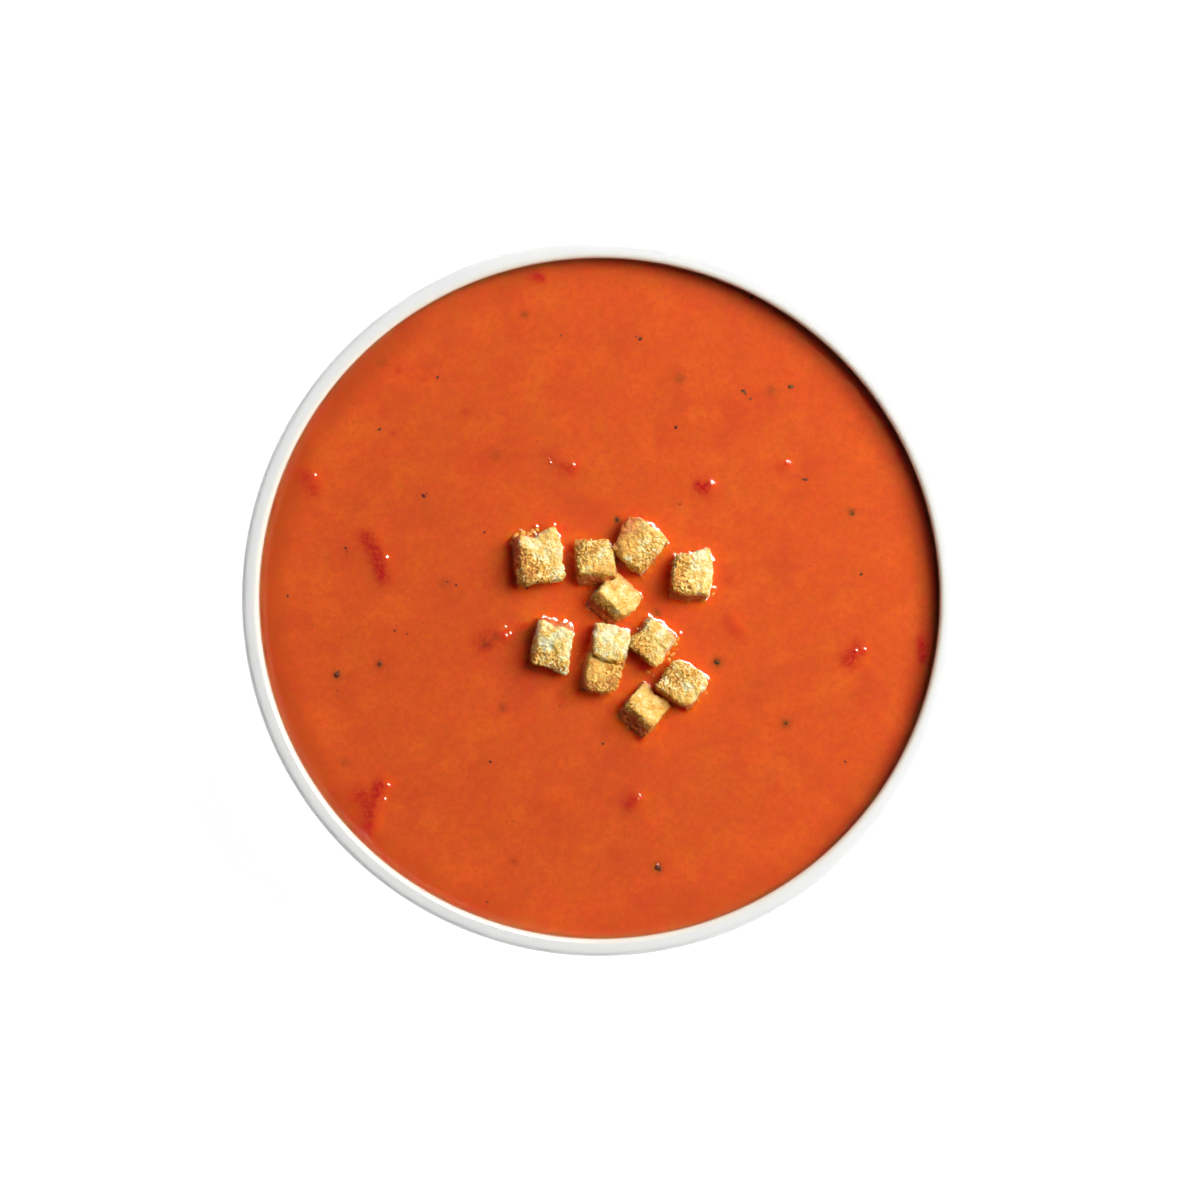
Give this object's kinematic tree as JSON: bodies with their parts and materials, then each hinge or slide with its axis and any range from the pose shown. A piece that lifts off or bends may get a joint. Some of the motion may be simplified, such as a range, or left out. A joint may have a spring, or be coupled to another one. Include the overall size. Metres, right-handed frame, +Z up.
{
  "type": "tomato soup",
  "caption": "Creamy tomato soup filling a round white bowl on a foot ring, with toasted bread croutons floating in the middle.",
  "frame": {"origin": "centre of the bowl's foot ring, on the table", "axes": "+Z up out of the bowl, +X to the right and +Y away from the eater"},
  "size_m": [0.17, 0.17, 0.0621],
  "materials": {
    "glaze": "smooth white gloss glaze",
    "soup": "wet creamy orange-red soup with fine specks",
    "bread": "toasted porous crumb"
  },
  "bodies": {
    "root": {"bowl": "glaze", "soup": "soup", "crouton_01": "bread", "crouton_02": "bread", "crouton_03": "bread", "crouton_04": "bread", "crouton_05": "bread", "crouton_06": "bread", "crouton_07": "bread", "crouton_08": "bread", "crouton_09": "bread", "crouton_10": "bread", "crouton_11": "bread"}
  },
  "joints": []
}
